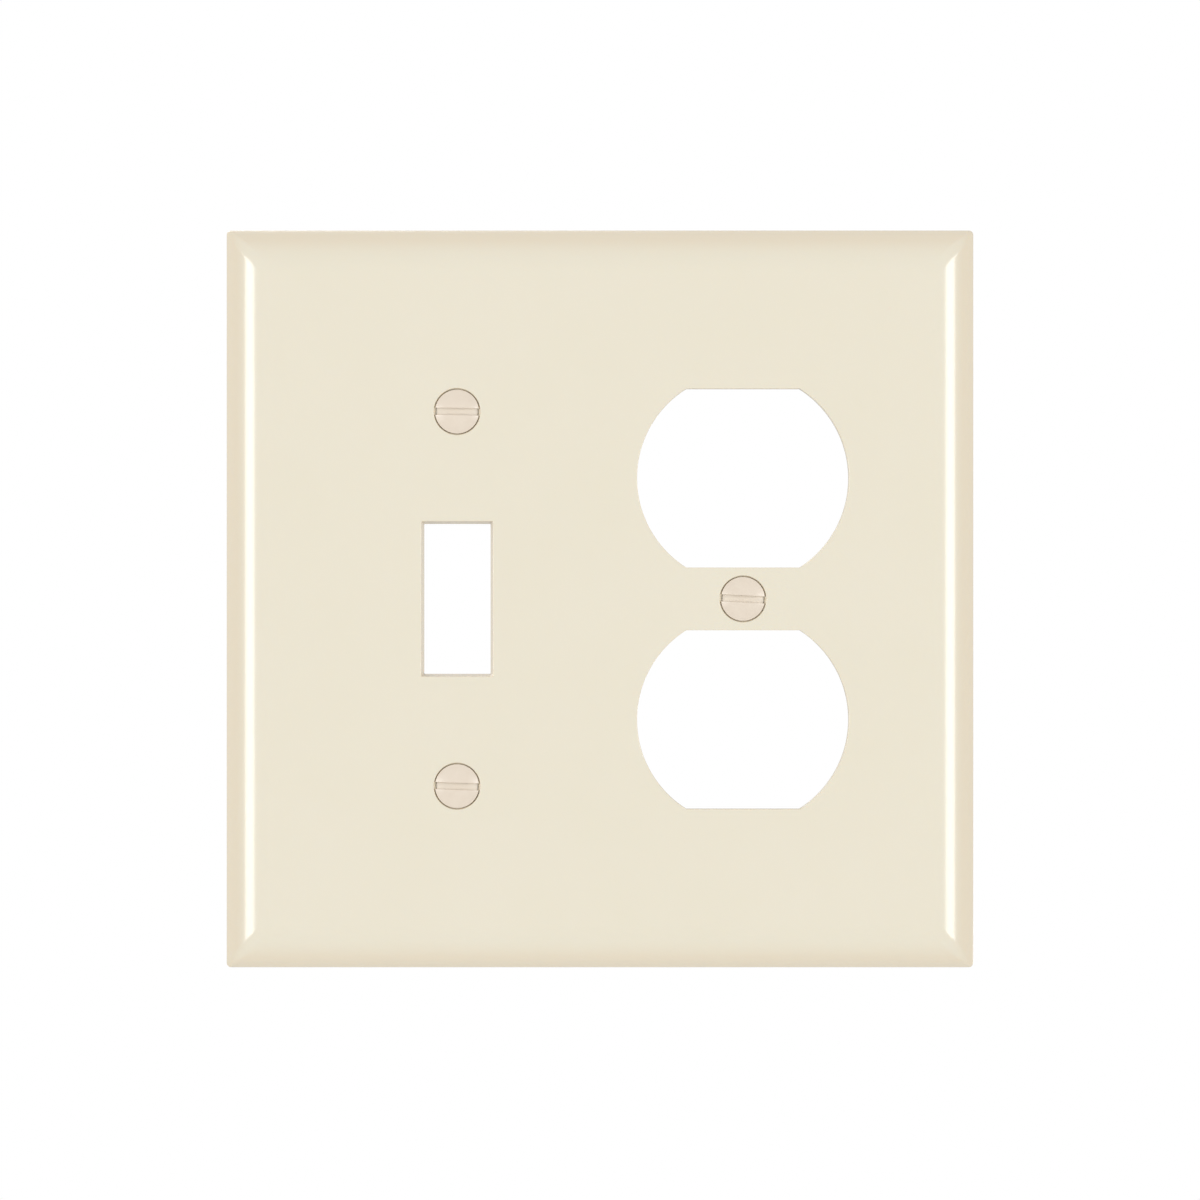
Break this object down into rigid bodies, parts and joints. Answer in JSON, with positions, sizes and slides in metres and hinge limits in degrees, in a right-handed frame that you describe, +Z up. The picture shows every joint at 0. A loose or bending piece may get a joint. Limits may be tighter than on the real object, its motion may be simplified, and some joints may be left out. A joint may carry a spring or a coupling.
{
  "type": "two-gang wall plate",
  "caption": "Moulded combination wall plate for a toggle switch beside a duplex receptacle, with rolled edges, ribbed back and captive painted oval-head screws.",
  "frame": {"origin": "centre of the plate on the wall plane, where its back rim rests", "axes": "+Z up, +Y into the wall, face of the plate towards -Y; the toggle gang is on -X and the receptacle gang on +X"},
  "size_m": [0.1206, 0.0136, 0.119],
  "materials": {
    "moulded_plastic": "light almond, gloss moulded face",
    "painted_steel": "light almond enamel on the head, zinc plate on the thread"
  },
  "bodies": {
    "plate": {"wall_plate": "moulded_plastic"},
    "upper_toggle_screw": {"toggle_screw_upper": "painted_steel"},
    "lower_toggle_screw": {"toggle_screw_lower": "painted_steel"},
    "centre_receptacle_screw": {"receptacle_screw": "painted_steel"}
  },
  "joints": [
    {"name": "upper_toggle_screw_turn", "type": "hinge", "parent": "plate", "child": "upper_toggle_screw", "pos_m": [-0.02302, 0, 0.03016], "axis": [0, 1, 0], "continuous": true},
    {"name": "lower_toggle_screw_turn", "type": "hinge", "parent": "plate", "child": "lower_toggle_screw", "pos_m": [-0.02302, 0, -0.03016], "axis": [0, 1, 0], "continuous": true},
    {"name": "receptacle_screw_turn", "type": "hinge", "parent": "plate", "child": "centre_receptacle_screw", "pos_m": [0.02302, 0, 0], "axis": [0, 1, 0], "continuous": true}
  ]
}
